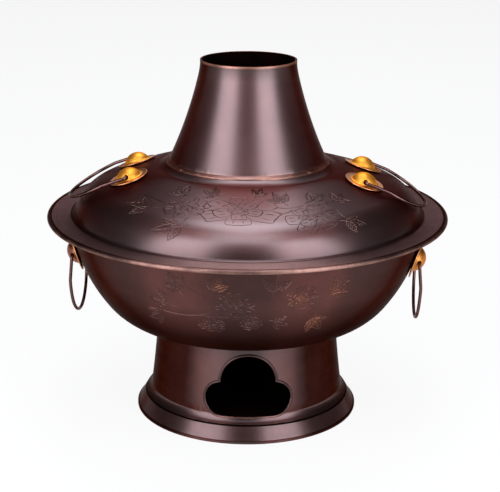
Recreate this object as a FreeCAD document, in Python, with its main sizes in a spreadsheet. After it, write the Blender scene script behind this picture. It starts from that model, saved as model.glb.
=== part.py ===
"""Chimney hot pot: a charcoal-fired copper pot with a ring-shaped soup trough.

The pedestal holds the ashes and lets the air in through a cloud-shaped window. The bowl stands on it
and carries a conical fire tube in its middle, over a cast grate. The lid is a ring that slips over the
fire tube, and a loose chimney cone stands on the lid. Millimetres, +Z up, origin on the table below
the middle of the pot, window towards -Y, bail handles at +X and -X.
"""
import FreeCAD, Part
import math
import os
import Sketcher

doc = FreeCAD.newDocument("chimney_hot_pot")

SIZES = (
    # alias, value in mm or degrees, what it measures
    ("foot_edge_height", 2.0, "rolled edge round the bottom of the foot"),
    ("foot_edge_step", 0.6, "how far the foot's band stands back from that edge"),
    ("foot_slant", 6.9, "how far the foot's band spreads from its top to the table"),
    ("foot_height", 12.6, "height of the foot's slanted band"),
    ("crease_depth", 0.9, "depth of the crease above the band"),
    ("crease_height", 1.5, "height of the crease"),
    ("flare_height", 6.0, "height of the short flare above the crease"),
    ("flare_spread", 5.0, "how far that flare spreads outward"),
    ("pedestal_taper", 5.8, "how much wider the pedestal is above the flare than under the bowl"),
    ("pedestal_bow", 900.0, "radius of the pedestal's slightly hollow side"),
    ("neck_inset", 3.05, "how far the pedestal's top stands in from the edge of the bowl's flat floor"),
    ("pedestal_height", 75.9, "table to the underside of the bowl"),
    ("pedestal_wall", 2.0, "thickness of the pedestal's sheet"),
    ("ash_plate_top", 11.0, "height of the ash plate's upper face"),
    ("ash_plate_thickness", 1.5, "sheet of the ash plate"),
    ("ash_plate_ledge", 2.2, "width of the step that the ash plate is brazed against"),
    ("window_turn", 4.1, "turn of the window from the -Y direction, degrees"),
    ("window_sill", 17.8, "height of the window's flat bottom"),
    ("window_side_radius", 13.5, "radius of the window's two side lobes"),
    ("window_side_reach", 20.3, "middle of a side lobe from the window's middle"),
    ("window_top_radius", 21.9, "radius of the window's upper lobe"),
    ("window_top_drop", 31.1, "middle of the upper lobe below the top of the pedestal"),
    ("bowl_wall", 1.2, "thickness of the bowl's sheet"),
    ("trough_floor", 15.65, "width of the flat ring of floor outside the fire tube"),
    ("lower_arc_radius", 50.5, "outer radius of the bowl's round lower wall"),
    ("upper_arc_radius", 130.6, "outer radius of the bowl's upper wall"),
    ("upper_arc_rise", 99.9, "middle of that upper arc above the bowl's underside"),
    ("bowl_depth", 87.1, "the bowl's underside to the ledge that the lid lies on"),
    ("rim_overhang", 16.8, "outside of the rolled rim beyond the bowl's widest wall"),
    ("rim_core_radius", 0.5, "hollow core that the rim is rolled round"),
    ("tube_top_radius", 54.0, "outside of the fire tube at its top"),
    ("tube_taper", 6.0, "how much wider the fire tube is on the bowl's floor than at its top"),
    ("tube_reach", 4.7, "how far the fire tube stands up past the lid's flat ring"),
    ("tube_wall", 1.4, "thickness of the fire tube's sheet"),
    ("grate_play", 1.6, "space round the loose grate as it comes out of the fire tube"),
    ("grate_lap", 5.0, "how far the grate laps over the edge of the floor's hole"),
    ("grate_thickness", 4.0, "thickness of the grate"),
    ("grate_hub_radius", 9.0, "solid middle of the grate"),
    ("grate_border", 7.0, "solid border of the grate"),
    ("grate_slot_width", 6.0, "width of a slot in the grate"),
    ("grate_slot_count", 12, "slots in the grate"),
    ("lid_wall", 1.5, "thickness of the lid's sheet"),
    ("lid_gap", 0.3, "gap between the lid's flange and the rolled rim"),
    ("lid_cove_radius", 8.0, "outer radius of the hollow between the flange and the shoulder"),
    ("lid_shoulder_radius", 34.0, "outer radius of the dome's shoulder arc"),
    ("lid_shoulder_inset", 43.1, "where the shoulder meets the straight slope, in from the rim"),
    ("lid_shoulder_rise", 25.6, "height of that place above the ledge"),
    ("lid_slope_rise", 16.7, "height of the straight slope"),
    ("lid_seat_width", 7.9, "width of the flat ring that the chimney stands on"),
    ("collar_play", 2.3, "space between the fire tube and the collar round the lid's hole"),
    ("collar_height", 6.5, "height of the collar above the flat ring"),
    ("chimney_skirt_reach", 7.4, "outside of the chimney's spread foot beyond the collar"),
    ("chimney_skirt_edge", 1.0, "thickness of the spread foot's edge"),
    ("chimney_skirt_spread", 3.1, "how far that foot spreads beyond the cone"),
    ("chimney_foot_rise", 2.6, "height of the spread foot"),
    ("chimney_taper", 23.2, "how much the cone narrows up to the arc under its mouth"),
    ("chimney_neck_height", 68.4, "height of that arc's lower end above the foot"),
    ("chimney_bow", 345.0, "radius of the cone's hollow side"),
    ("chimney_throat_arc", 29.0, "radius of the small arc under the mouth"),
    ("chimney_throat_taper", 0.9, "how much the cone narrows along that arc"),
    ("chimney_mouth_length", 6.0, "length of the straight mouth"),
    ("chimney_height", 81.3, "height of the whole chimney"),
    ("chimney_wall", 1.4, "thickness of the chimney's sheet"),
    ("boss_spacing", 53.2, "between the middles of a handle's two bosses"),
    ("boss_dome_radius", 10.2, "radius of a boss's dome at its foot"),
    ("boss_dome_height", 8.4, "height of a boss's dome above its seat"),
    ("boss_brim_radius", 15.6, "outside of a boss's brim"),
    ("boss_brim_thickness", 0.9, "thickness of the brim's edge"),
    ("boss_brim_lift", 0.5, "how far the brim's edge is dished up"),
    ("boss_base_radius", 12.5, "radius of the flat part of the boss's seat"),
    ("hinge_height", 3.0, "bail's hinge line above a boss's seat"),
    ("bail_wire", 2.6, "diameter of the bail's wire"),
    ("bail_hole_play", 1.0, "how much wider the hole in a boss is than the wire"),
    ("bail_pin_reach", 30.6, "inner end of a bail's pin from the handle's middle"),
    ("bail_pin_play", 0.4, "space between the pin's end and the bottom of its hole"),
    ("bail_half_width", 38.0, "bail's straight arms from the handle's middle"),
    ("bail_bend", 3.0, "radius of the bend from pin to arm"),
    ("bail_arm", 20.4, "hinge line to the slight fold across the arms"),
    ("bail_fold", 8.0, "angle of that fold, degrees"),
    ("bail_fold_radius", 25.0, "radius of that fold"),
    ("bail_corner_radius", 30.0, "radius of the bail's rounded corners"),
    ("bail_length", 34.6, "fold to the tip of the bail"),
    ("lid_boss_inset", 68.0, "line of a handle's two lid bosses, in from the rim"),
    ("lid_bail_gap", 0.33, "space under a bail that lies on the lid, where it comes nearest"),
    ("left_bail_raise", 2.2, "how much the left bail stands up from there, degrees"),
    ("side_boss_drop", 28.0, "height of a side boss's seat below the ledge"),
    ("side_bail_lean", 5.2, "outward lean of a hanging bail's arms, degrees"),
    ("rivet_radius", 2.0, "shank of a boss's rivet"),
    ("rivet_depth", 4.4, "how deep the shank sits in the boss"),
    ("rivet_head_radius", 3.6, "peened head of the rivet"),
    ("rivet_head_height", 1.7, "height of that head"),
    ("rivet_hole_play", 0.05, "hole in the sheet is this much larger in radius"),
    ("washer_radius", 5.0, "outside of the washer under the rivet's head"),
    ("washer_thickness", 0.8, "thickness of the washer"),
    ("washer_standoff", 0.12, "washer's middle off the hollow side of the sheet"),
)
dim = doc.addObject("Spreadsheet::Sheet", "dim")
for row, (alias, size, meaning) in enumerate(SIZES, start=1):
    dim.set(f"A{row}", meaning)
    dim.set(f"B{row}", str(size))
    dim.setAlias(f"B{row}", alias)
doc.recompute()

# Places that several pieces share, as formulas of the sheet's sizes.
# Radii are worked out from the fire tube outward, heights from the table upward.
TUBE_FOOT = "(dim.tube_top_radius + dim.tube_taper)"
FLOOR_RADIUS = f"({TUBE_FOOT} + dim.trough_floor)"
FLOOR_TOP = "(dim.pedestal_height + dim.bowl_wall)"
GRATE_RADIUS = "(dim.tube_top_radius - dim.tube_wall - dim.grate_play)"
ARC_DROP = "(dim.upper_arc_rise - dim.lower_arc_radius)"
ARC_SPREAD = "(dim.upper_arc_radius - dim.lower_arc_radius)"
UPPER_ARC_OFFSET = f"({FLOOR_RADIUS} - sqrt({ARC_SPREAD}^2 - {ARC_DROP}^2))"
UPPER_ARC_HEIGHT = "(dim.pedestal_height + dim.upper_arc_rise)"
LEDGE_HEIGHT = "(dim.pedestal_height + dim.bowl_depth)"
RIM_RADIUS = f"({UPPER_ARC_OFFSET} + dim.upper_arc_radius + dim.rim_overhang)"
RIM_BEAD = "(dim.rim_core_radius + dim.bowl_wall)"
RIM_MIDDLE = f"({RIM_RADIUS} - {RIM_BEAD})"
NECK_RADIUS = f"({FLOOR_RADIUS} - dim.neck_inset)"
WAIST_RADIUS = f"({NECK_RADIUS} + dim.pedestal_taper)"
FOOT_TOP_RADIUS = f"({WAIST_RADIUS} + dim.flare_spread)"
FOOT_RADIUS = f"({FOOT_TOP_RADIUS} + dim.foot_slant)"
PLATE_RADIUS = f"({FOOT_TOP_RADIUS} - dim.crease_depth - dim.pedestal_wall)"
COLLAR_INSIDE = "(dim.tube_top_radius + dim.collar_play)"
COLLAR_RADIUS = f"({COLLAR_INSIDE} + dim.lid_wall)"
SEAT_RADIUS = f"({COLLAR_RADIUS} + dim.lid_seat_width)"
SHOULDER_REACH = f"({RIM_RADIUS} - dim.lid_shoulder_inset)"
SHOULDER_HEIGHT = f"({LEDGE_HEIGHT} + dim.lid_shoulder_rise)"
SEAT_HEIGHT = f"({SHOULDER_HEIGHT} + dim.lid_slope_rise)"
LID_SLOPE = f"(dim.lid_slope_rise / ({SHOULDER_REACH} - {SEAT_RADIUS}))"
SHOULDER_MIDDLE_X = f"({SHOULDER_REACH} - dim.lid_shoulder_radius * sin(atan({LID_SLOPE})))"
SHOULDER_MIDDLE_Z = f"({SHOULDER_HEIGHT} - dim.lid_shoulder_radius * cos(atan({LID_SLOPE})))"
HALF_SPACING = "(dim.boss_spacing / 2)"
PIN_HOLE_RADIUS = "((dim.bail_wire + dim.bail_hole_play) / 2)"


def number(formula):
    """Value of a formula written with the sheet's aliases."""
    result = dim.evalExpression(formula)
    return float(getattr(result, "Value", result))


def arc_between(start, end, radius, turn):
    """The shorter arc from start to end; turn 'ccw' puts its middle on the left of the way."""
    middle = (start + end) * 0.5
    way = end - start
    reach = math.sqrt(radius ** 2 - (way.Length / 2) ** 2)
    left = FreeCAD.Vector(-way.y, way.x, 0).normalize()
    centre = middle + left * (reach if turn == "ccw" else -reach)
    circle = Part.Circle(centre, FreeCAD.Vector(0, 0, 1), radius)
    first, last = (start, end) if turn == "ccw" else (end, start)
    return Part.ArcOfCircle(circle, circle.parameter(first), circle.parameter(last))


def fix_point(sketch, edge, end, x, y):
    """Hold one end of an edge at the point (x, y), both given as formulas."""
    for kind, formula, axis in (("DistanceX", x, -2), ("DistanceY", y, -1)):
        if formula == "0":
            sketch.addConstraint(Sketcher.Constraint("PointOnObject", edge, end, axis))
        else:
            rule = Sketcher.Constraint(kind, -1, 1, edge, end, number(formula))
            index = sketch.addConstraint(rule)
            sketch.setExpression(f"Constraints[{index}]", formula)


def outline(body, name, plane, corners):
    """Closed sketch through corners (x, y) or (x, y, radius, turn) when an arc leaves the corner."""
    sketch = body.newObject("Sketcher::SketchObject", name)
    base = next(part for part in body.Origin.OriginFeatures if part.Role == plane)
    sketch.AttachmentSupport = [(base, "")]
    sketch.MapMode = "FlatFace"
    spots = [FreeCAD.Vector(number(corner[0]), number(corner[1]), 0) for corner in corners]
    ends = []
    for index, corner in enumerate(corners):
        start = spots[index]
        stop = spots[(index + 1) % len(spots)]
        if len(corner) == 2:
            edge = sketch.addGeometry(Part.LineSegment(start, stop))
            ends.append((edge, 1, 2))
        else:
            edge = sketch.addGeometry(arc_between(start, stop, number(corner[2]), corner[3]))
            ends.append((edge, 1, 2) if corner[3] == "ccw" else (edge, 2, 1))
    for index, (edge, first, last) in enumerate(ends):
        following = ends[(index + 1) % len(ends)]
        sketch.addConstraint(Sketcher.Constraint("Coincident", edge, last, following[0], following[1]))
        fix_point(sketch, edge, first, corners[index][0], corners[index][1])
    for (edge, _, _), corner in zip(ends, corners):
        if len(corner) == 4:
            index = sketch.addConstraint(Sketcher.Constraint("Radius", edge, number(corner[2])))
            sketch.setExpression(f"Constraints[{index}]", corner[2])
    return sketch


def turned(name, corners):
    """A body of revolution about its own Z axis from an outline of (radius, height) corners."""
    body = doc.addObject("PartDesign::Body", name)
    sketch = outline(body, name + "_outline", "XZ_Plane", corners)
    spin = body.newObject("PartDesign::Revolution", name + "_spin")
    spin.Profile = sketch
    spin.ReferenceAxis = (sketch, ["V_Axis"])
    spin.Angle = 360
    sketch.Visibility = False
    doc.recompute()
    return body


def cylinder(name, radius, height):
    """An upright cylinder with its size bound to formulas."""
    solid = doc.addObject("Part::Cylinder", name)
    solid.setExpression("Radius", radius)
    solid.setExpression("Height", height)
    return solid


def move(piece, x="0", y="0", z="0"):
    """Bind a piece's place to formulas."""
    for axis, formula in zip("xyz", (x, y, z)):
        if formula != "0":
            piece.setExpression(f"Placement.Base.{axis}", formula)


def cut(name, base, tool):
    """One piece cut by another."""
    result = doc.addObject("Part::Cut", name)
    result.Base = base
    result.Tool = tool
    return result


def joined(name, pieces):
    """Several pieces as one tool for a cut."""
    result = doc.addObject("Part::MultiFuse", name)
    result.Shapes = pieces
    return result


def group(name, pieces):
    """Separate solids kept together in one node."""
    result = doc.addObject("Part::Compound", name)
    result.Links = pieces
    return result


# ---------------------------------------------------------------- pedestal and ash plate

def make_pedestal():
    """Spun sheet pedestal with a slanted foot, and the cloud window cut through its front."""
    crease_top = "(dim.foot_height + dim.crease_height)"
    flare_top = f"({crease_top} + dim.flare_height)"
    shell = turned("pedestal_shell", [
        (FOOT_RADIUS, "0"),
        (FOOT_RADIUS, "dim.foot_edge_height"),
        (f"{FOOT_RADIUS} - dim.foot_edge_step * 2", "dim.foot_edge_height + dim.foot_edge_step"),
        (FOOT_TOP_RADIUS, "dim.foot_height"),
        (f"{FOOT_TOP_RADIUS} - dim.crease_depth", f"{crease_top} - dim.crease_height / 2"),
        (f"{FOOT_TOP_RADIUS} - dim.crease_depth / 2", crease_top, "dim.flare_height * 1.5", "cw"),
        (WAIST_RADIUS, flare_top, "dim.pedestal_bow", "cw"),
        (NECK_RADIUS, "dim.pedestal_height"),
        (f"{NECK_RADIUS} - dim.pedestal_wall", "dim.pedestal_height", "dim.pedestal_bow", "ccw"),
        (f"{WAIST_RADIUS} - dim.pedestal_wall", flare_top),
        (f"{PLATE_RADIUS} - dim.ash_plate_ledge", "dim.ash_plate_top"),
        (PLATE_RADIUS, "dim.ash_plate_top"),
        (f"{FOOT_RADIUS} - dim.pedestal_wall - dim.foot_edge_step", "0"),
    ])
    window_top = "(dim.pedestal_height - dim.window_top_drop)"
    lobes = []
    for name, radius, x, z in (
            ("window_top_lobe", "dim.window_top_radius", "0", window_top),
            ("window_right_lobe", "dim.window_side_radius", "dim.window_side_reach",
             "dim.window_sill + dim.window_side_radius"),
            ("window_left_lobe", "dim.window_side_radius", "-dim.window_side_reach",
             "dim.window_sill + dim.window_side_radius")):
        lobe = cylinder(name, radius, FOOT_RADIUS)
        lobe.Placement.Rotation = FreeCAD.Rotation(FreeCAD.Vector(1, 0, 0), 90)
        move(lobe, x=x, z=z)
        lobes.append(lobe)
    middle = doc.addObject("Part::Box", "window_middle")
    middle.setExpression("Length", "2 * dim.window_side_reach")
    middle.setExpression("Width", FOOT_RADIUS)
    middle.setExpression("Height", f"{window_top} - dim.window_sill")
    move(middle, x="-dim.window_side_reach", y=f"-{FOOT_RADIUS}", z="dim.window_sill")
    window = joined("window_opening", lobes + [middle])
    window.setExpression("Placement.Rotation.Yaw", "dim.window_turn")
    return cut("pedestal", shell, window)


def make_ash_plate():
    """Flat plate brazed under the pedestal's inner step; it catches the ashes."""
    plate = cylinder("ash_plate", PLATE_RADIUS, "dim.ash_plate_thickness")
    move(plate, z="dim.ash_plate_top - dim.ash_plate_thickness")
    return plate


# ---------------------------------------------------------------- handle bosses

def lid_spot(side, end):
    """Seat of a lid boss: its place on the lid's slope and the way it faces."""
    reach = f"({RIM_RADIUS} - dim.lid_boss_inset)"
    out = f"sqrt({reach}^2 + {HALF_SPACING}^2)"
    swing = f"atan({HALF_SPACING} / {reach})"
    return {
        "x": f"{side} * {reach}",
        "y": f"{end} * {HALF_SPACING}",
        "z": f"{SHOULDER_HEIGHT} + ({SHOULDER_REACH} - {out}) * {LID_SLOPE}",
        "heading": f"({end} * {swing})" if side > 0 else f"({end} * (180 deg - {swing}))",
        "lean": f"atan({LID_SLOPE})",
        "half_turn": f"{end} * 180 deg",
    }


def side_spot(side, end):
    """Seat of a side boss on the bowl's upper wall."""
    height = f"({LEDGE_HEIGHT} - dim.side_boss_drop)"
    drop = f"({UPPER_ARC_HEIGHT} - {height})"
    out = f"({UPPER_ARC_OFFSET} + sqrt(dim.upper_arc_radius^2 - {drop}^2))"
    swing = f"asin({HALF_SPACING} / {out})"
    return {
        "x": f"{side} * sqrt({out}^2 - {HALF_SPACING}^2)",
        "y": f"{end} * {HALF_SPACING}",
        "z": height,
        "heading": f"({end} * {swing})" if side > 0 else f"({end} * (180 deg - {swing}))",
        "lean": f"(90 deg + asin({drop} / dim.upper_arc_radius))",
        "half_turn": f"{end} * 180 deg",
    }


def seat(piece, spot, lift="0"):
    """Put a piece on a spot, its own Z along the sheet's outward normal, lifted along it."""
    across = f"({lift}) * sin({spot['lean']})"
    move(piece,
         x=f"{spot['x']} + {across} * cos({spot['heading']})",
         y=f"{spot['y']} + {across} * sin({spot['heading']})",
         z=f"{spot['z']} + ({lift}) * cos({spot['lean']})")
    if number(spot["lean"]) > 90:
        # The same attitude, written so that the pitch stays within a quarter turn.
        piece.setExpression("Placement.Rotation.Yaw", f"{spot['heading']} - {spot['half_turn']}")
        piece.setExpression("Placement.Rotation.Pitch", f"180 deg - {spot['lean']}")
        piece.setExpression("Placement.Rotation.Roll", "180 deg")
    else:
        piece.setExpression("Placement.Rotation.Yaw", spot["heading"])
        piece.setExpression("Placement.Rotation.Pitch", spot["lean"])


def hinge_place(spot):
    """Distance from the YZ plane and height of the hinge line of the boss on this spot, as formulas."""
    x = f"({spot['x']} + dim.hinge_height * sin({spot['lean']}) * cos({spot['heading']}))"
    z = f"({spot['z']} + dim.hinge_height * cos({spot['lean']}))"
    return x, z


def make_boss(name, spot, end):
    """Cast brass boss: dished brim, dome, blind hole for its rivet and a cross hole for the bail."""
    valley = "(dim.boss_brim_thickness + dim.boss_brim_lift / 2)"
    dome_arc = (f"(((dim.boss_dome_height - {valley})^2 + dim.boss_dome_radius^2)"
                f" / (2 * (dim.boss_dome_height - {valley})))")
    casting = turned(name + "_casting", [
        ("dim.rivet_radius", "0"),
        ("dim.boss_base_radius", "0"),
        ("dim.boss_brim_radius", "dim.boss_brim_lift"),
        ("dim.boss_brim_radius", "dim.boss_brim_lift + dim.boss_brim_thickness"),
        ("dim.boss_dome_radius", valley, dome_arc, "ccw"),
        ("0", "dim.boss_dome_height"),
        ("0", "dim.rivet_depth"),
        ("dim.rivet_radius", "dim.rivet_depth"),
    ])
    seat(casting, spot)
    drill = cylinder(name + "_drill", PIN_HOLE_RADIUS, "dim.boss_dome_radius")
    drill.Placement.Rotation = FreeCAD.Rotation(FreeCAD.Vector(1, 0, 0), -90 * end)
    x, z = hinge_place(spot)
    move(drill, x=x, y=f"{end} * (dim.bail_pin_reach - dim.bail_pin_play)", z=z)
    return cut(name, casting, drill)


def make_rivet(name, spot, wall):
    """Copper rivet from inside the boss through the sheet and the washer, peened over below."""
    under = f"({wall} + dim.washer_standoff + dim.washer_thickness)"
    head_arc = "((dim.rivet_head_radius^2 + dim.rivet_head_height^2) / (2 * dim.rivet_head_height))"
    rivet = turned(name, [
        ("0", "dim.rivet_depth"),
        ("0", f"-{under} - dim.rivet_head_height", head_arc, "ccw"),
        ("dim.rivet_head_radius", f"-{under}"),
        ("dim.rivet_radius", f"-{under}"),
        ("dim.rivet_radius", "dim.rivet_depth"),
    ])
    seat(rivet, spot)
    return rivet


def make_washer(name, spot, wall):
    """Copper washer between the sheet and the rivet's peened head."""
    washer = turned(name, [
        ("dim.rivet_radius", "0"),
        ("dim.washer_radius", "0"),
        ("dim.washer_radius", "dim.washer_thickness"),
        ("dim.rivet_radius", "dim.washer_thickness"),
    ])
    seat(washer, spot, lift=f"-({wall} + dim.washer_standoff + dim.washer_thickness)")
    return washer


def make_rivet_drill(name, spot, wall):
    """Tool for the hole that a rivet passes through the sheet."""
    drill = cylinder(name, "dim.rivet_radius + dim.rivet_hole_play", f"6 * {wall}")
    seat(drill, spot, lift=f"-3 * {wall}")
    return drill


def make_boss_sets(place, spot_of, wall):
    """The four bosses of the lid or the bowl, their rivets and washers, and the drilling tool."""
    bosses = []
    rivets = []
    washers = []
    drills = []
    for side, side_name in ((-1, "left"), (1, "right")):
        for end, end_name in ((-1, "front"), (1, "rear")):
            spot = spot_of(side, end)
            tail = f"{side_name}_{end_name}"
            bosses.append(make_boss(f"{place}_boss_{tail}", spot, end))
            rivets.append(make_rivet(f"{place}_rivet_{tail}", spot, wall))
            washers.append(make_washer(f"{place}_washer_{tail}", spot, wall))
            drills.append(make_rivet_drill(f"{place}_rivet_drill_{tail}", spot, wall))
    nodes = bosses + [group(f"{place}_rivets", rivets), group(f"{place}_washers", washers)]
    return nodes, joined(f"{place}_rivet_drills", drills)


# ---------------------------------------------------------------- bowl, fire tube and grate

def make_bowl(rivet_drills):
    """Raised bowl: ring floor, two tangent arcs of wall, a flat ledge and the rim rolled outward."""
    inner_upper = "(dim.upper_arc_radius - dim.bowl_wall)"
    inner_lower = "(dim.lower_arc_radius - dim.bowl_wall)"
    lean_x = f"(({FLOOR_RADIUS} - {UPPER_ARC_OFFSET}) / {ARC_SPREAD})"
    lean_z = f"(-{ARC_DROP} / {ARC_SPREAD})"
    under_ledge = f"({LEDGE_HEIGHT} - dim.bowl_wall)"
    hole = f"({GRATE_RADIUS} - dim.grate_lap)"
    shell = turned("bowl_shell", [
        (hole, "dim.pedestal_height"),
        (FLOOR_RADIUS, "dim.pedestal_height", "dim.lower_arc_radius", "ccw"),
        (f"{UPPER_ARC_OFFSET} + dim.upper_arc_radius * {lean_x}",
         f"{UPPER_ARC_HEIGHT} + dim.upper_arc_radius * {lean_z}", "dim.upper_arc_radius", "ccw"),
        (f"{UPPER_ARC_OFFSET} + sqrt(dim.upper_arc_radius^2"
         f" - ({UPPER_ARC_HEIGHT} - {under_ledge})^2)", under_ledge),
        (f"{RIM_MIDDLE} - sqrt({RIM_BEAD}^2 - dim.bowl_wall^2)", under_ledge, RIM_BEAD, "ccw"),
        (RIM_RADIUS, LEDGE_HEIGHT, RIM_BEAD, "ccw"),
        (RIM_MIDDLE, f"{LEDGE_HEIGHT} + {RIM_BEAD}", RIM_BEAD, "ccw"),
        (f"{RIM_MIDDLE} - {RIM_BEAD}", LEDGE_HEIGHT),
        (f"{UPPER_ARC_OFFSET} + sqrt({inner_upper}^2 - ({UPPER_ARC_HEIGHT} - {LEDGE_HEIGHT})^2)",
         LEDGE_HEIGHT, inner_upper, "cw"),
        (f"{UPPER_ARC_OFFSET} + {inner_upper} * {lean_x}",
         f"{UPPER_ARC_HEIGHT} + {inner_upper} * {lean_z}", inner_lower, "cw"),
        (FLOOR_RADIUS, FLOOR_TOP),
        (hole, FLOOR_TOP),
    ])
    return cut("bowl", shell, rivet_drills)


def make_fire_tube():
    """Tapered tube brazed on the bowl's floor; charcoal burns in it, soup stands round it."""
    top = f"({SEAT_HEIGHT} + dim.tube_reach)"
    return turned("fire_tube", [
        (TUBE_FOOT, FLOOR_TOP),
        ("dim.tube_top_radius", top),
        ("dim.tube_top_radius - dim.tube_wall", top),
        (f"{TUBE_FOOT} - dim.tube_wall", FLOOR_TOP),
    ])


def make_grate():
    """Loose cast-iron grate on the edge of the floor's hole, with a ring of radial slots."""
    grate = doc.addObject("PartDesign::Body", "grate")
    disc = outline(grate, "grate_disc_outline", "XZ_Plane", [
        ("0", "0"),
        (GRATE_RADIUS, "0"),
        (GRATE_RADIUS, "dim.grate_thickness"),
        ("0", "dim.grate_thickness"),
    ])
    spin = grate.newObject("PartDesign::Revolution", "grate_disc")
    spin.Profile = disc
    spin.ReferenceAxis = (disc, ["V_Axis"])
    spin.Angle = 360
    doc.recompute()
    whole = spin.Shape.Volume
    half_slot = "dim.grate_slot_width / 2"
    slot_end = f"{GRATE_RADIUS} - dim.grate_border"
    slot_start = "dim.grate_hub_radius + dim.grate_slot_width"
    slot = outline(grate, "grate_slot_outline", "XY_Plane", [
        (slot_start, f"-{half_slot} / 2"),
        (slot_end, f"-{half_slot}"),
        (slot_end, half_slot),
        (slot_start, f"{half_slot} / 2"),
    ])
    pocket = grate.newObject("PartDesign::Pocket", "grate_slot")
    pocket.Profile = slot
    pocket.Type = "ThroughAll"
    pocket.Reversed = True
    doc.recompute()
    if pocket.Shape.Volume >= whole:
        raise RuntimeError("the grate's slot cuts nothing")
    ring = grate.newObject("PartDesign::PolarPattern", "grate_slots")
    ring.Originals = [pocket]
    ring.Axis = (slot, ["N_Axis"])
    ring.Angle = 360
    ring.setExpression("Occurrences", "dim.grate_slot_count")
    grate.Tip = ring
    move(grate, z=FLOOR_TOP)
    return grate


# ---------------------------------------------------------------- lid and chimney

def make_lid(rivet_drills):
    """Spun lid: flat flange inside the rolled rim, hollow cove, round shoulder, slope and collar."""
    tilt = f"atan({LID_SLOPE})"
    inner_arc = "(dim.lid_shoulder_radius - dim.lid_wall)"
    flange_top = f"({LEDGE_HEIGHT} + dim.lid_wall)"
    between_arcs = "(dim.lid_shoulder_radius + dim.lid_cove_radius)"
    cove_rise = f"({flange_top} + dim.lid_cove_radius - {SHOULDER_MIDDLE_Z})"
    cove_reach = f"sqrt({between_arcs}^2 - {cove_rise}^2)"
    cove_x = f"({SHOULDER_MIDDLE_X} + {cove_reach})"
    lean_x = f"({cove_reach} / {between_arcs})"
    lean_z = f"({cove_rise} / {between_arcs})"
    flange_edge = f"({RIM_MIDDLE} - {RIM_BEAD} - dim.lid_gap)"
    collar_top = f"({SEAT_HEIGHT} + dim.collar_height)"
    seat_under = f"({SEAT_HEIGHT} - dim.lid_wall)"
    shell = turned("lid_shell", [
        (flange_edge, LEDGE_HEIGHT),
        (flange_edge, flange_top),
        (cove_x, flange_top, "dim.lid_cove_radius", "cw"),
        (f"{SHOULDER_MIDDLE_X} + dim.lid_shoulder_radius * {lean_x}",
         f"{SHOULDER_MIDDLE_Z} + dim.lid_shoulder_radius * {lean_z}",
         "dim.lid_shoulder_radius", "ccw"),
        (SHOULDER_REACH, SHOULDER_HEIGHT),
        (SEAT_RADIUS, SEAT_HEIGHT),
        (COLLAR_RADIUS, SEAT_HEIGHT),
        (COLLAR_RADIUS, collar_top),
        (COLLAR_INSIDE, collar_top),
        (COLLAR_INSIDE, seat_under),
        (f"{SEAT_RADIUS} - dim.lid_wall * tan({tilt} / 2)", seat_under),
        (f"{SHOULDER_MIDDLE_X} + {inner_arc} * sin({tilt})",
         f"{SHOULDER_MIDDLE_Z} + {inner_arc} * cos({tilt})", inner_arc, "cw"),
        (f"{SHOULDER_MIDDLE_X} + {inner_arc} * {lean_x}",
         f"{SHOULDER_MIDDLE_Z} + {inner_arc} * {lean_z}", "dim.lid_cove_radius + dim.lid_wall", "ccw"),
        (cove_x, LEDGE_HEIGHT),
    ])
    return cut("lid", shell, rivet_drills)


def make_chimney():
    """Loose cone that stands on the lid: spread foot, hollow side and a short straight mouth."""
    skirt = f"({COLLAR_RADIUS} + dim.chimney_skirt_reach)"
    cone = f"({skirt} - dim.chimney_skirt_spread)"
    neck = f"({cone} - dim.chimney_taper)"
    mouth = f"({neck} - dim.chimney_throat_taper)"
    cone_foot = f"({SEAT_HEIGHT} + dim.chimney_foot_rise)"
    throat = f"({SEAT_HEIGHT} + dim.chimney_neck_height)"
    top = f"({SEAT_HEIGHT} + dim.chimney_height)"
    mouth_foot = f"({top} - dim.chimney_mouth_length)"
    return turned("chimney", [
        (skirt, SEAT_HEIGHT),
        (skirt, f"{SEAT_HEIGHT} + dim.chimney_skirt_edge"),
        (cone, cone_foot, "dim.chimney_bow", "cw"),
        (neck, throat, "dim.chimney_throat_arc", "cw"),
        (mouth, mouth_foot),
        (mouth, top),
        (f"{mouth} - dim.chimney_wall", top),
        (f"{mouth} - dim.chimney_wall", mouth_foot,
         "dim.chimney_throat_arc + dim.chimney_wall", "ccw"),
        (f"{neck} - dim.chimney_wall", throat, "dim.chimney_bow + dim.chimney_wall", "ccw"),
        (f"{cone} - dim.chimney_wall", cone_foot),
        (f"{cone} - dim.chimney_wall", SEAT_HEIGHT),
    ])


# ---------------------------------------------------------------- bails

BAIL_TEST_POINTS = 240
BAIL_HALVINGS = 30


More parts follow.
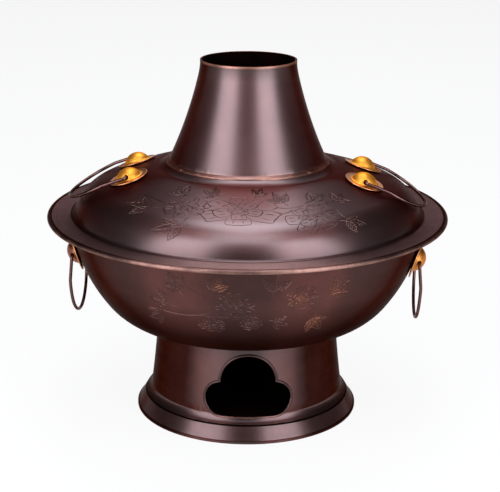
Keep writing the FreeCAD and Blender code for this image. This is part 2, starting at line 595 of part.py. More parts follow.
def bail_route():
    """Middle line of a bail in its own frame: hinge line on Y, arms along +X, fold towards -Z."""
    wide = number("dim.bail_half_width")
    bend = number("dim.bail_bend")
    fold = math.radians(number("dim.bail_fold"))
    corner = number("dim.bail_corner_radius")
    fold_run = number("dim.bail_fold_radius") * math.tan(fold / 2)
    arm = number("dim.bail_arm")
    down = FreeCAD.Vector(math.cos(fold), 0, -math.sin(fold))
    corner_turn = math.pi / 2 - 2 * math.atan(
        (number("dim.bail_length") - fold_run - corner) / (wide - corner))
    tip_radius = corner + (wide - corner) / math.cos(corner_turn)
    tip_middle = fold_run - (wide - corner) * math.tan(corner_turn)

    def beyond_fold(run, y):
        return FreeCAD.Vector(arm, y, 0) + down * run

    def corner_point(angle):
        return beyond_fold(fold_run + corner * math.sin(angle),
                           wide - corner + corner * math.cos(angle))

    fold_start = FreeCAD.Vector(arm - fold_run, wide, 0)
    fold_end = beyond_fold(fold_run, wide)
    fold_middle = (fold_start + fold_end) * 0.5
    fold_apex = FreeCAD.Vector(arm, wide, 0)
    sagitta = number("dim.bail_fold_radius") * (1 - math.cos(fold / 2))
    fold_middle = fold_middle + (fold_apex - fold_middle).normalize() * sagitta
    bend_shift = bend * (1 - math.sqrt(0.5))
    half = [
        Part.LineSegment(FreeCAD.Vector(0, number("dim.bail_pin_reach"), 0),
                         FreeCAD.Vector(0, wide - bend, 0)),
        Part.Arc(FreeCAD.Vector(0, wide - bend, 0),
                 FreeCAD.Vector(bend_shift, wide - bend_shift, 0),
                 FreeCAD.Vector(bend, wide, 0)),
        Part.LineSegment(FreeCAD.Vector(bend, wide, 0), fold_start),
        Part.Arc(fold_start, fold_middle, fold_end),
        Part.Arc(fold_end, corner_point(corner_turn / 2), corner_point(corner_turn)),
    ]
    edges = [piece.toShape() for piece in half]
    flip = FreeCAD.Matrix()
    flip.A22 = -1
    other = [edge.transformGeometry(flip) for edge in reversed(edges)]
    left_end = corner_point(corner_turn)
    right_end = FreeCAD.Vector(left_end.x, -left_end.y, left_end.z)
    tip = Part.Arc(left_end, beyond_fold(tip_middle + tip_radius, 0), right_end)
    return Part.Wire(edges + [tip.toShape()] + other)


def resting_slope(spot):
    """Angle below level, in degrees, at which a bail hung from this spot comes to lie on the lid."""
    hinge_x, hinge_z = (number(formula) for formula in hinge_place(spot))
    shoulder = number("dim.lid_shoulder_radius")
    middle_x = number(SHOULDER_MIDDLE_X)
    middle_z = number(SHOULDER_MIDDLE_Z)
    lid_slope = math.atan(number(LID_SLOPE))
    needed = number("dim.bail_wire / 2 + dim.lid_bail_gap")
    points = bail_route().discretize(BAIL_TEST_POINTS)

    def clears(slope):
        for point in points:
            x = hinge_x + point.x * math.cos(slope) + point.z * math.sin(slope)
            z = hinge_z - point.x * math.sin(slope) + point.z * math.cos(slope)
            out = math.hypot(x, point.y) - middle_x
            up = z - middle_z
            from_slope = out * math.sin(lid_slope) + up * math.cos(lid_slope) - shoulder
            on_slope = math.atan2(out, up) < lid_slope
            gap = from_slope if on_slope else math.hypot(out, up) - shoulder
            if gap < needed:
                return False
        return True

    level, steep = 0.0, math.pi / 2
    for _ in range(BAIL_HALVINGS):
        between = (level + steep) / 2
        if clears(between):
            level = between
        else:
            steep = between
    return math.degrees(level)


def make_bail(name, spot, side, slope):
    """Wire bail hung in its two bosses; slope is the angle of its arms below level, a formula."""
    route = bail_route()
    radius = number("dim.bail_wire / 2")
    start = route.OrderedVertexes[0].Point
    section = Part.Wire(Part.Circle(start, FreeCAD.Vector(0, 1, 0), radius).toShape())
    shape = route.makePipeShell([section], True, False)
    expected = math.pi * radius ** 2 * route.Length
    if not math.isclose(shape.Volume, expected, rel_tol=0.01):
        raise RuntimeError(f"{name} is not a whole wire")
    bail = doc.addObject("Part::Feature", name)
    bail.Shape = shape
    x, z = hinge_place(spot)
    move(bail, x=x, z=z)
    bail.setExpression("Placement.Rotation.Yaw", "0" if side > 0 else "180")
    bail.setExpression("Placement.Rotation.Pitch", slope)
    return bail


lid_parts, lid_drills = make_boss_sets("lid", lid_spot, "dim.lid_wall")
side_parts, side_drills = make_boss_sets("side", side_spot, "dim.bowl_wall")
lid_bail_slope = resting_slope(lid_spot(1, 1))
nodes = [
    make_pedestal(),
    make_ash_plate(),
    make_bowl(side_drills),
    make_fire_tube(),
    make_grate(),
    make_lid(lid_drills),
    make_chimney(),
    make_bail("lid_bail_left", lid_spot(-1, 1), -1, f"{lid_bail_slope} - dim.left_bail_raise"),
    make_bail("lid_bail_right", lid_spot(1, 1), 1, f"{lid_bail_slope}"),
    make_bail("side_bail_left", side_spot(-1, 1), -1, "90 - dim.side_bail_lean"),
    make_bail("side_bail_right", side_spot(1, 1), 1, "90 - dim.side_bail_lean"),
]
nodes += lid_parts + side_parts
doc.recompute()

for item in doc.Objects:
    if "Invalid" in item.State or "Error" in item.State:
        raise RuntimeError(f"{item.Label} failed: {item.State}")
for node in nodes:
    if node.Shape.isNull() or not node.Shape.isValid():
        raise RuntimeError(f"{node.Label} has no valid shape")

os.makedirs("parts", exist_ok=True)
for node in nodes:
    node.Shape.exportStep(f"parts/{node.Label}.step")
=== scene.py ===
"""Chimney hot pot of dark bronzed copper with brass bosses, in the order it is put together."""
import math

import bpy
from mathutils import Matrix, Vector


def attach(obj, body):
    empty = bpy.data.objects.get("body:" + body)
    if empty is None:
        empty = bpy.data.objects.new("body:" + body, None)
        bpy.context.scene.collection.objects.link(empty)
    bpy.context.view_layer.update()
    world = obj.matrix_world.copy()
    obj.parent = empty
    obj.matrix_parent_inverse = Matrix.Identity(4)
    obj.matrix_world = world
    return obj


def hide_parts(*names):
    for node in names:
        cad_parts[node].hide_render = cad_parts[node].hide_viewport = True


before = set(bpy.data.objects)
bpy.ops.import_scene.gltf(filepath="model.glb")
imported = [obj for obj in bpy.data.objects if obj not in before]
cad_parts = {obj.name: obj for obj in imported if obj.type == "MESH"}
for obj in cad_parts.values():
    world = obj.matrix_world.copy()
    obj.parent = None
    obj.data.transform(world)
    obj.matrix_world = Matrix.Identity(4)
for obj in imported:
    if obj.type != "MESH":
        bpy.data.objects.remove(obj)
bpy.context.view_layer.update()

# ---------------------------------------------------------------- pedestal
# The pedestal holds the ashes and lets the air in. It is spun from copper sheet to a slanted foot,
# a crease and a slightly hollow side, then bronzed dark; its cloud window is cut by hand.
MM = 0.001  # Sizes are in mm, and an outline is a list of (radius, height).
SPUN_STEPS = 256
SMOOTH_UNDER = math.radians(35)
pedestal_wall = 2.0
side_foot = (78.3, 19.0)
side_top = (72.6, 75.9)
side_bow = 900.0


def bend(start, end, radius, steps):
    """Points from start to end along an arc that swings to the right of the way, or left if negative."""
    way = Vector(end) - Vector(start)
    side = Vector((way.y, -way.x)).normalized() * math.copysign(1, radius)
    turn = math.asin(way.length / 2 / abs(radius))
    middle = (Vector(start) + Vector(end)) / 2 - side * abs(radius) * math.cos(turn)
    points = []
    for step in range(steps + 1):
        angle = turn * (2 * step / steps - 1)
        spot = middle + abs(radius) * (way.normalized() * math.sin(angle) + side * math.cos(angle))
        points.append((spot.x, spot.y))
    return points


def arc(middle, radius, start, end, steps):
    """Points on a circle from one angle to another, in degrees from the horizontal."""
    points = []
    for step in range(steps + 1):
        angle = math.radians(start + (end - start) * step / steps)
        points.append((middle[0] + radius * math.cos(angle), middle[1] + radius * math.sin(angle)))
    return points


def spin_sheet(name, section, steps=SPUN_STEPS, edge=0.3):
    """A round piece drawn up ring by ring along a closed section of (radius, height), edges eased."""
    bpy.ops.object.select_all(action="DESELECT")
    radius, height = section[0]
    bpy.ops.mesh.primitive_circle_add(vertices=steps, radius=radius * MM, location=(0, 0, height * MM))
    piece = bpy.context.object
    piece.name = piece.data.name = name
    bpy.ops.object.mode_set(mode="EDIT")
    bpy.ops.mesh.select_all(action="SELECT")
    for (old_radius, old_height), (radius, height) in zip(section, section[1:]):
        # Two arcs that meet give the same point twice.
        if abs(radius - old_radius) + abs(height - old_height) < 1e-6:
            continue
        rise = (height - old_height) * MM
        bpy.ops.mesh.extrude_region_move(TRANSFORM_OT_translate={"value": (0, 0, rise)})
        if radius > 0:
            bpy.ops.transform.resize(value=(radius / old_radius, radius / old_radius, 1))
        else:
            bpy.ops.mesh.merge(type="CENTER")
    bpy.ops.mesh.select_all(action="DESELECT")
    bpy.ops.mesh.select_non_manifold()
    if section[-1][0] > 0:
        bpy.ops.mesh.bridge_edge_loops()
    else:
        bpy.ops.mesh.edge_face_add()
    bpy.ops.mesh.select_all(action="SELECT")
    bpy.ops.mesh.normals_make_consistent(inside=False)
    bpy.ops.object.mode_set(mode="OBJECT")
    bpy.ops.object.transform_apply(location=True, rotation=True, scale=True)
    rounding = piece.modifiers.new("eased_edges", "BEVEL")
    rounding.width = edge * MM
    rounding.segments = 2
    rounding.limit_method = "ANGLE"
    rounding.angle_limit = math.radians(30)
    bpy.ops.object.modifier_apply(modifier=rounding.name)
    bpy.ops.object.shade_smooth_by_angle(angle=SMOOTH_UNDER)
    return piece


# The foot's slope has a short step at each end, which keeps it flat under smooth shading.
foot_edge = [(90.3, 0.0), (90.3, 1.6)]
foot_slope = [(89.2, 2.2), (88.9, 2.72), (83.9, 11.35), (83.6, 11.87)]
crease = [(82.5, 12.4)]
foot_hollow = bend((82.8, 13.1), side_foot, -9.0, 6)
pedestal_side = bend(side_foot, side_top, -side_bow, 10)
side_behind = bend(
    (side_top[0] - pedestal_wall, side_top[1]), (side_foot[0] - pedestal_wall, side_foot[1]), side_bow, 10)
ash_plate_step = [(78.3, 10.4), (80.4, 10.4), (87.7, 0.0)]
pedestal = spin_sheet(
    "pedestal_sheet",
    foot_edge + foot_slope + crease + foot_hollow + pedestal_side + side_behind + ash_plate_step)

# The window: two side lobes and an upper one over a flat sill, drawn on a plane in front of the pot.
window_turn = math.radians(4.1)
side_lobe = 13.5
side_middle = (20.3, 31.3)
top_lobe = 21.9
top_middle = (0.0, 44.8)
sill = 17.8
punch_front = -100
punch_depth = 90
side_meets, top_meets = 83.2, 1.5
window = (
    arc(side_middle, side_lobe, -90, side_meets, 26)
    + arc(top_middle, top_lobe, top_meets, 180 - top_meets, 32)
    + arc((-side_middle[0], side_middle[1]), side_lobe, 180 - side_meets, 270, 26))
window += [(x, sill) for x in range(-16, 17, 4)]
bpy.ops.object.select_all(action="DESELECT")
bpy.ops.mesh.primitive_circle_add(vertices=len(window), radius=side_lobe * MM, fill_type="NGON")
punch = bpy.context.object
for corner, (x, z) in zip(punch.data.vertices, window):
    corner.co = (x * MM, punch_front * MM, z * MM)
bpy.ops.object.mode_set(mode="EDIT")
bpy.ops.mesh.select_all(action="SELECT")
bpy.ops.mesh.extrude_region_move(TRANSFORM_OT_translate={"value": (0, punch_depth * MM, 0)})
bpy.ops.mesh.select_all(action="SELECT")
bpy.ops.mesh.normals_make_consistent(inside=False)
bpy.ops.object.mode_set(mode="OBJECT")
punch.rotation_euler.z = window_turn
bpy.ops.object.transform_apply(location=True, rotation=True, scale=True)


def cut_away(piece, tool):
    """Cut one piece by another and throw the tool away."""
    bpy.ops.object.select_all(action="DESELECT")
    piece.select_set(True)
    bpy.context.view_layer.objects.active = piece
    cutting = piece.modifiers.new("cut", "BOOLEAN")
    cutting.operation = "DIFFERENCE"
    cutting.solver = "EXACT"
    cutting.object = tool
    bpy.ops.object.modifier_apply(modifier=cutting.name)
    bpy.data.objects.remove(tool)
    bpy.ops.object.shade_smooth_by_angle(angle=SMOOTH_UNDER)


cut_away(pedestal, punch)


def linear(colour):
    """An sRGB hex colour as linear red, green, blue and alpha."""
    channels = [int(colour[i:i + 2], 16) / 255 for i in (1, 3, 5)]
    return [c / 12.92 if c <= 0.04045 else ((c + 0.055) / 1.055) ** 2.4 for c in channels] + [1.0]


def node(tree, kind, links=None, **settings):
    """Add a shader node, set its properties and link its inputs.

    Inputs go by name or place: Map Range has its value at 0, the range it comes from at 1 and 2 and the
    range it goes to at 3 and 4; Mix has its factor at 0 and its colours at 6 and 7.
    """
    made = tree.nodes.new(kind)
    for name, value in settings.items():
        setattr(made, name, value)
    for socket, source in (links or {}).items():
        if isinstance(source, bpy.types.NodeSocket):
            tree.links.new(source, made.inputs[socket])
        else:
            made.inputs[socket].default_value = source
    return made


def patinated_metal(name, patina, rough, lacquer, rings="ADD", bared_and_highlight_colour=None, rubs_and_painted_highlights=(), spots=(), painted_shade_band=None,
                    edge_tint="#B8B1AF", grain=0.75, unevenness=1.0, glance=(0.3, 0.65)):
    """Metal under a dark oxide patina and a thin lacquer, burnished, and warmer where it is rubbed.

    patina: the darker and the lighter colour of its clouds.  rough: how matt the burnishing leaves it.
    lacquer: the clear coat's weight, roughness and index; it fades out over the range `glance` of
    Facing, which is 0 straight on and 1 at the edge of sight.
    rings: ADD where the sheet's radius and height grow together, SUBTRACT where one grows as the other
    shrinks, so that the lathe's rings keep their distance.
    bared_and_highlight_colour: the metal's colour where it is rubbed, and of a painted highlight.
    rubs_and_painted_highlights: for "radius" or "height", where a band starts and where it is full;
    most bands are rubbing, and the one on the window's sill is a painted highlight.
    spots: x, y, z and radius of places rubbed by hand.
    painted_shade_band: painted shade between the height where the colour is clean and the height
    where it is darkest, and the share of lacquer and colour left there.
    edge_tint: its colour at a glancing angle.  grain: how far the brushing stretches a highlight.
    """
    ring_pitch = 1.6 * MM
    cloud_size = 18 * MM
    stipple_size = 1.5 * MM
    material = bpy.data.materials.new(name)
    material.use_nodes = True
    tree = material.node_tree
    shader = tree.nodes["Principled BSDF"]
    place = node(tree, "ShaderNodeTexCoord").outputs["Object"]
    axes = node(tree, "ShaderNodeSeparateXYZ", {0: place}).outputs
    across = node(tree, "ShaderNodeCombineXYZ", {0: axes[0], 1: axes[1]}).outputs[0]
    reach = node(tree, "ShaderNodeVectorMath", {0: across}, operation="LENGTH").outputs["Value"]
    # Spinning leaves rings about 0.7 mm apart; they are drawn 1.6 mm apart, so that they show.
    along = node(tree, "ShaderNodeMath", {0: reach, 1: axes[2]}, operation=rings).outputs[0]
    ring = node(tree, "ShaderNodeMath", {0: along, 1: 1 / ring_pitch}, operation="MULTIPLY").outputs[0]
    # On its way round, each ring changes slowly, about every 110 mm.
    slow = node(tree, "ShaderNodeVectorMath", {0: place, "Scale": 9.0}, operation="SCALE").outputs[0]
    lines = node(tree, "ShaderNodeTexNoise", {"Vector": slow, "W": ring, "Scale": 1.0, "Detail": 2.0},
                 noise_dimensions="4D").outputs[0]
    # The oxide grows in clouds about 18 mm across, and is stippled every 1.5 mm or so.
    clouds = node(tree, "ShaderNodeTexNoise", {"Vector": place, "Scale": 1 / cloud_size, "Detail": 5.0,
                  "Roughness": 0.62}).outputs[0]
    stipple = node(tree, "ShaderNodeTexNoise", {"Vector": place, "Scale": 1 / stipple_size,
                   "Detail": 2.0}).outputs[0]
    # Nearly all of the noise lies between 0.3 and 0.72; that span goes from one colour to the other.
    tone = node(tree, "ShaderNodeMapRange", {0: clouds, 1: 0.3, 2: 0.72, 3: 0.0, 4: 1.0}).outputs[0]
    colour = node(tree, "ShaderNodeMix", {0: tone, 6: linear(patina[0]), 7: linear(patina[1])},
                  data_type="RGBA").outputs[2]
    if painted_shade_band:
        clean, dark, least = painted_shade_band
        kept = node(tree, "ShaderNodeMapRange", {0: axes[2], 1: clean * MM, 2: dark * MM, 3: 1.0,
                    4: least}).outputs[0]
        # Painted shade: between the two heights the colour goes towards a near-black brown.
        colour = node(tree, "ShaderNodeMix", {0: kept, 6: linear("#1A0A07"), 7: colour},
                      data_type="RGBA").outputs[2]
    if bared_and_highlight_colour:
        rubbed = 0.0
        for axis, start, full in rubs_and_painted_highlights:
            spot = {"radius": reach, "height": axes[2]}[axis]
            band = node(tree, "ShaderNodeMapRange", {0: spot, 1: start * MM, 2: full * MM, 3: 0.0,
                        4: 1.0}).outputs[0]
            rubbed = node(tree, "ShaderNodeMath", {0: rubbed, 1: band}, operation="MAXIMUM").outputs[0]
        # Where the clouds of oxide are thick, the rubbing has taken less of them away.
        thin = node(tree, "ShaderNodeMapRange", {0: clouds, 1: 0.35, 2: 0.6, 3: 0.35, 4: 1.0}).outputs[0]
        rubbed = node(tree, "ShaderNodeMath", {0: rubbed, 1: thin}, operation="MULTIPLY").outputs[0]
        for x, y, z, radius in spots:
            away = node(tree, "ShaderNodeVectorMath", {0: place, 1: (x * MM, y * MM, z * MM)},
                        operation="DISTANCE").outputs["Value"]
            near = node(tree, "ShaderNodeMapRange", {0: away, 1: radius * MM, 2: 0.0, 3: 0.0,
                        4: 1.0}).outputs[0]
            patch = node(tree, "ShaderNodeMath", {0: near, 1: stipple}, operation="MULTIPLY").outputs[0]
            rubbed = node(tree, "ShaderNodeMath", {0: rubbed, 1: patch}, operation="MAXIMUM",
                          use_clamp=True).outputs[0]
        colour = node(tree, "ShaderNodeMix", {0: rubbed, 6: colour, 7: linear(bared_and_highlight_colour)},
                      data_type="RGBA").outputs[2]
    tree.links.new(colour, shader.inputs["Base Color"])
    # Rings and stipple together make the shine uneven and the surface very slightly bumpy.
    uneven = node(tree, "ShaderNodeMath", {0: lines, 1: stipple}, operation="ADD").outputs[0]
    shine = node(tree, "ShaderNodeMapRange", {0: uneven, 1: 0.6, 2: 1.4, 3: rough - 0.06 * unevenness,
                 4: rough + 0.08 * unevenness}).outputs[0]
    tree.links.new(shine, shader.inputs["Roughness"])
    relief = node(tree, "ShaderNodeBump", {"Strength": 0.12, "Distance": 0.25 * unevenness * MM,
                  "Height": uneven}).outputs[0]
    tree.links.new(relief, shader.inputs["Normal"])
    if grain:
        # The brushing runs round the axis. A quarter turn stretches the highlights across it.
        back = node(tree, "ShaderNodeMath", {0: axes[1], 1: -1.0}, operation="MULTIPLY").outputs[0]
        round_about = node(tree, "ShaderNodeCombineXYZ", {0: back, 1: axes[0]}).outputs[0]
        tree.links.new(round_about, shader.inputs["Tangent"])
        shader.inputs["Anisotropic"].default_value = grain
        shader.inputs["Anisotropic Rotation"].default_value = 0.25
    shader.inputs["Metallic"].default_value = 1.0
    shader.inputs["Specular Tint"].default_value = linear(edge_tint)
    # The lacquer over the patina is thin, and glances less at the edge of sight than a thick one.
    weight, coat_rough, index = lacquer
    facing = node(tree, "ShaderNodeLayerWeight", {"Blend": 0.5}).outputs["Facing"]
    coat = node(tree, "ShaderNodeMapRange", {0: facing, 1: glance[0], 2: glance[1], 3: weight,
                4: 0.0}).outputs[0]
    if painted_shade_band:
        coat = node(tree, "ShaderNodeMath", {0: coat, 1: kept}, operation="MULTIPLY").outputs[0]
    tree.links.new(coat, shader.inputs["Coat Weight"])
    shader.inputs["Coat Roughness"].default_value = coat_rough
    shader.inputs["Coat IOR"].default_value = index
    return material


def line_inside(piece, material, below=math.inf):
    """Give the faces that look towards the axis, below a height in mm, a finish of their own."""
    piece.data.materials.append(material)
    for face in piece.data.polygons:
        outward = face.center.x * face.normal.x + face.center.y * face.normal.y
        if outward < -0.25 * face.center.xy.length and face.center.z < below * MM:
            face.material_index = len(piece.data.materials) - 1


# Bronzed copper, spun and burnished: a deep red-brown, with tall soft highlights up the side.
pedestal_bronze = patinated_metal(
    "bronzed_copper_burnished_pedestal", ("#46221D", "#562D28"), 0.45, (0.9, 0.35, 1.6),
    edge_tint="#B3AEAC", grain=0.97, glance=(0.08, 0.28))
# The foot's slope has a paler, greyer copy of the side's finish with more lacquer; the paler colour is
# painted light.
foot_bronze = patinated_metal(
    "bronzed_copper_foot_painted_light", ("#4E302D", "#603F3C"), 0.4, (1.0, 0.25, 1.5))
# Copper under soot: matt brown-black inside the window and the tubes. On the foot's outer crease the same
# black is painted shade.
soot_and_painted_shade = patinated_metal("copper_blackened_by_soot_and_painted_shade", ("#0C0504", "#1C0C09"), 0.8, (0.0, 0.5, 1.5), grain=0)
# The numbers of the second and the third finish on a piece; the first, 0, is the outside's. On the
# pedestal the second, soot, is also painted shade in the crease; the third is a paler copy of the
# outside's finish, which is painted light.
soot_and_shade_slot, painted_light_slot = 1, 2
pedestal.data.materials.append(pedestal_bronze)
line_inside(pedestal, soot_and_painted_shade)
pedestal.data.materials.append(foot_bronze)
# The outer crease gets the soot finish as a painted shade line; the foot's slope gets the paler finish,
# which is painted light.
for face in pedestal.data.polygons:
    in_crease = 11.8 * MM < face.center.z < 13.1 * MM and face.center.xy.length > 82 * MM
    on_foot = 2.3 * MM < face.center.z < 19.2 * MM and face.normal.z > 0.1
    if in_crease:
        face.material_index = soot_and_shade_slot
    elif on_foot:
        face.material_index = painted_light_slot
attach(pedestal, "pot")
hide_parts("pedestal")

# ---------------------------------------------------------------- window lip
# The cut edge of the window is turned over and hammered smooth, so that no raw sheet shows.
# The lip stands about half a millimetre proud and is smoother than the side; the copper colour along its
# sill is a painted highlight.
lip_radius = 1.15
lip_setback = 0.7
lip_depth = 0.55
side_taper = 5.8 / 55.8


def wire(name, routes, radius, sides=4, closed=False):
    """Round wire of one radius in mm, laid along routes of points in mm, as a mesh."""
    bpy.ops.object.select_all(action="DESELECT")
    bpy.ops.curve.primitive_nurbs_path_add(location=(0, 0, 0))
    curve = bpy.context.object
    curve.data.splines.clear()
    for route in routes:
        spline = curve.data.splines.new("POLY")
        spline.points.add(len(route) - 1)
        for point, spot in zip(spline.points, route):
            point.co = (spot[0] * MM, spot[1] * MM, spot[2] * MM, 1)
            point.radius = spot[3] if len(spot) > 3 else 1
        spline.use_cyclic_u = closed
    curve.data.dimensions = "3D"
    curve.data.bevel_depth = radius * MM
    curve.data.bevel_resolution = sides
    curve.data.use_fill_caps = not closed
    bpy.ops.object.convert(target="MESH")
    piece = bpy.context.object
    piece.name = piece.data.name = name
    bpy.ops.object.shade_smooth_by_angle(angle=math.radians(50))
    return piece


lip_route = []
for (x, z), after, before in zip(window, window[1:] + window[:1], window[-1:] + window[:-1]):
    along = Vector((after[0] - before[0], after[1] - before[1])).normalized()
    x += along.y * lip_setback
    z -= along.x * lip_setback
    side = side_top[0] + side_taper * (side_top[1] - z)
    angle = window_turn + math.asin(x / side)
    lip_route.append(((side - lip_depth) * math.sin(angle), -(side - lip_depth) * math.cos(angle), z))
window_lip = wire("window_lip", [lip_route], lip_radius, closed=True)
# Bronzed copper, hammered and smooth: a thin dark line that glints, with a painted highlight of copper
# colour along the sill.
lip_bronze = patinated_metal(
    "bronzed_copper_turned_edge", ("#3C2421", "#4E322E"), 0.28, (0.5, 0.25, 1.5),
    bared_and_highlight_colour="#94685C", rubs_and_painted_highlights=(("height", 19.0, 16.0),), grain=0)
window_lip.data.materials.append(lip_bronze)
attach(window_lip, "pot")

# ---------------------------------------------------------------- bowl
# The trough that holds the soup: raised from copper sheet in two round sweeps, with a flat ledge
# for the lid and an edge rolled outward; bronzed outside with the pedestal.
bowl_thick = 1.2
bowl_floor = 75.9
floor_hole = 46.0
lower_middle, lower_radius = (75.65, 126.4), 50.5
upper_middle, upper_radius = (12.597, 175.8), 130.6
sweeps_meet = -38.08
roll_middle, roll_radius = (158.297, 163.0), 1.7
bowl_wall = (
    [(floor_hole, bowl_floor)]
    + arc(lower_middle, lower_radius, -90, sweeps_meet, 14)
    + arc(upper_middle, upper_radius, sweeps_meet, -6.154, 22))
rolled_rim = arc(roll_middle, roll_radius, -135.1, 180, 18)
bowl_inside = (
    arc(upper_middle, upper_radius - bowl_thick, -5.68, sweeps_meet, 22)
    + arc(lower_middle, lower_radius - bowl_thick, sweeps_meet, -90, 14)
    + [(floor_hole, bowl_floor + bowl_thick)])
bowl = spin_sheet("bowl_sheet", bowl_wall + rolled_rim + bowl_inside)
# Bronzed copper, burnished: dark red-brown with copper along the rolled rim, and painted shade making it
# darker and duller towards the bottom.
bowl_bronze = patinated_metal(
    "bronzed_copper_burnished_bowl", ("#421F1A", "#522823"), 0.42, (0.5, 0.32, 1.5),
    bared_and_highlight_colour="#9E766A", rubs_and_painted_highlights=(("radius", 158.2, 159.8),), painted_shade_band=(126.0, 96.0, 0.15), grain=0.97)
# Bare copper tanned by heat: warm orange-brown in brighter and darker clouds, with no lacquer.
plain_copper = patinated_metal(
    "copper_plain_heat_tanned", ("#8A5138", "#B0704E"), 0.38, (0.0, 0.3, 1.5),
    bared_and_highlight_colour="#C98A62", rubs_and_painted_highlights=(("height", 205.0, 210.0),), edge_tint="#E0A080")
bowl.data.materials.append(bowl_bronze)
line_inside(bowl, plain_copper, below=162.9)
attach(bowl, "pot")
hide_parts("bowl")

# ---------------------------------------------------------------- fire tube
# A tapered copper tube brazed on the bowl's floor; charcoal burns in it and soup stands round it.
# Left plain, it is tanned by heat.
tube_top, tube_foot = 210.0, 77.1
fire_tube = spin_sheet(
    "fire_tube_sheet", [(60.0, tube_foot), (54.0, tube_top), (52.6, tube_top), (58.6, tube_foot)])
fire_tube.data.materials.append(plain_copper)
line_inside(fire_tube, soot_and_painted_shade)
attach(fire_tube, "pot")
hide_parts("fire_tube")

# ---------------------------------------------------------------- ash plate, rivets and washers
# Plain copper parts behind the bronzed sheets: the plate that catches the ashes, and the riveted
# ends and washers that hold the bosses.
for name in ("lid_rivets", "lid_washers", "side_rivets", "side_washers"):
    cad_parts[name].data.materials.clear()
    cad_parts[name].data.materials.append(plain_copper)
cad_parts["ash_plate"].data.materials.clear()
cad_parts["ash_plate"].data.materials.append(soot_and_painted_shade)

# ---------------------------------------------------------------- grate
# A loose grate of cast iron on the edge of the floor's hole, black and grainy from the sand mould.
# Sand-cast iron gives a matt grey-black with no highlight, greyer on top where the charcoal wears it.
cast_iron = patinated_metal(
    "cast_iron_sand_cast", ("#1C1A19", "#34302D"), 0.6, (0.0, 0.3, 1.5),
    bared_and_highlight_colour="#5A5048", rubs_and_painted_highlights=(("height", 81.0, 81.2),), grain=0)
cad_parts["grate"].data.materials.clear()
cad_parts["grate"].data.materials.append(cast_iron)

# ---------------------------------------------------------------- lid
# A ring-shaped lid spun from copper sheet: flat flange, small cove, round shoulder, slope, and a
# collar round the hole that slips over the fire tube. Bronzed and burnished on the lathe.
lid_thick = 1.5
flange_edge, flange_under, flange_top = 156.297, 163.0, 164.5
cove_middle, cove_radius = (141.609, 167.5), 3.0
shoulder_middle, shoulder_radius = (106.353, 156.276), 34.0
cove_meets = 17.66
flowers_from = 22.72
slope_meets = 71.934
slope_top = (83.0, 199.656)
hollow_foot = (73.0, 202.256)
ring_edge, ring_top = 66.0, 205.3
collar_outside, collar_inside, collar_top = 57.8, 56.3, 211.8
# From the shoulder up the slope and through a shallow hollow to the flat ring under the chimney.
lid_dome = (
    arc(shoulder_middle, shoulder_radius, flowers_from, slope_meets, 18)
    + [(91.0, 197.05)]
    + bend(slope_top, hollow_foot, 84.6, 5)
    + bend(hollow_foot, (66.1, 205.24), -17.5, 8)
    + [(ring_edge, ring_top)])
lid_outside = (
    [(flange_edge, flange_under), (flange_edge, flange_top)]
    + arc(cove_middle, cove_radius, 270, 180 + cove_meets, 6)
    + arc(shoulder_middle, shoulder_radius, cove_meets, flowers_from, 2)
    + lid_dome
    + [(collar_outside, ring_top), (collar_outside, collar_top)])
lid_inside = (
    [(collar_inside, collar_top), (collar_inside, ring_top - lid_thick)]
    + [(65.3, ring_top - lid_thick), (72.6, 200.85)]
    + arc(shoulder_middle, shoulder_radius - lid_thick, slope_meets, cove_meets, 20)
    + arc(cove_middle, cove_radius + lid_thick, 180 + cove_meets, 270, 6))
lid = spin_sheet("lid_sheet", lid_outside + lid_inside)
# Bronzed copper, burnished most of all: broad grey-pink highlights on red-brown, with painted shade making
# the shoulder darker and duller towards the flange.
lid_bronze = patinated_metal(
    "bronzed_copper_burnished_lid", ("#542926", "#643531"), 0.42, (1.0, 0.3, 1.85), "SUBTRACT",
    painted_shade_band=(176.0, 167.0, 0.6), edge_tint="#BCB0AE")
# The flat flange has a paler, greyer copy of the lid's finish, which is painted light, and a thin copper
# edge.
flange_bronze = patinated_metal(
    "bronzed_copper_flange_painted_light", ("#6E5450", "#7E625E"), 0.42, (0.6, 0.25, 1.5),
    bared_and_highlight_colour="#8A6458", rubs_and_painted_highlights=(("radius", 155.6, 156.3),), edge_tint="#E0C8C8", grain=0.92)
lid.data.materials.append(lid_bronze)
line_inside(lid, plain_copper)
lid.data.materials.append(flange_bronze)
for face in lid.data.polygons:
    on_flange = face.center.z < 165.2 * MM and face.center.xy.length > 141.4 * MM
    # The flange's faces get the paler finish, which is painted light.
    if on_flange and face.normal.z > -0.2:
        face.material_index = painted_light_slot
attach(lid, "lid")
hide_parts("lid")

# ---------------------------------------------------------------- chimney
# A loose cone that stands on the lid and draws the fire: spun from copper sheet, with a spread
# foot, a hollow side and a short straight mouth, its edges rubbed to bright copper.
chimney_thick = 1.4
skirt_edge = 65.2
cone_foot = (62.4, 207.9)
throat_foot = (39.55, 273.7)
mouth_foot = (38.0, 283.0)
mouth_top = 286.6
cone_hollow, throat_hollow = 345.0, 64.4
chimney_outside = (
    [(skirt_edge, ring_top), (skirt_edge, 206.3)]
    + bend(cone_foot, throat_foot, -cone_hollow, 18)
    + bend(throat_foot, mouth_foot, -throat_hollow, 5)
    + [(mouth_foot[0], mouth_top)])
inner_cone_foot = (cone_foot[0] - chimney_thick, cone_foot[1])
inner_throat_foot = (throat_foot[0] - chimney_thick, throat_foot[1])
inner_mouth_foot = (mouth_foot[0] - chimney_thick, mouth_foot[1])
chimney_inside = (
    [(inner_mouth_foot[0], mouth_top)]
    + bend(inner_mouth_foot, inner_throat_foot, throat_hollow + chimney_thick, 5)
    + bend(inner_throat_foot, inner_cone_foot, cone_hollow + chimney_thick, 18)
    + [(inner_cone_foot[0], ring_top)])
chimney = spin_sheet("chimney_cone", chimney_outside + chimney_inside)
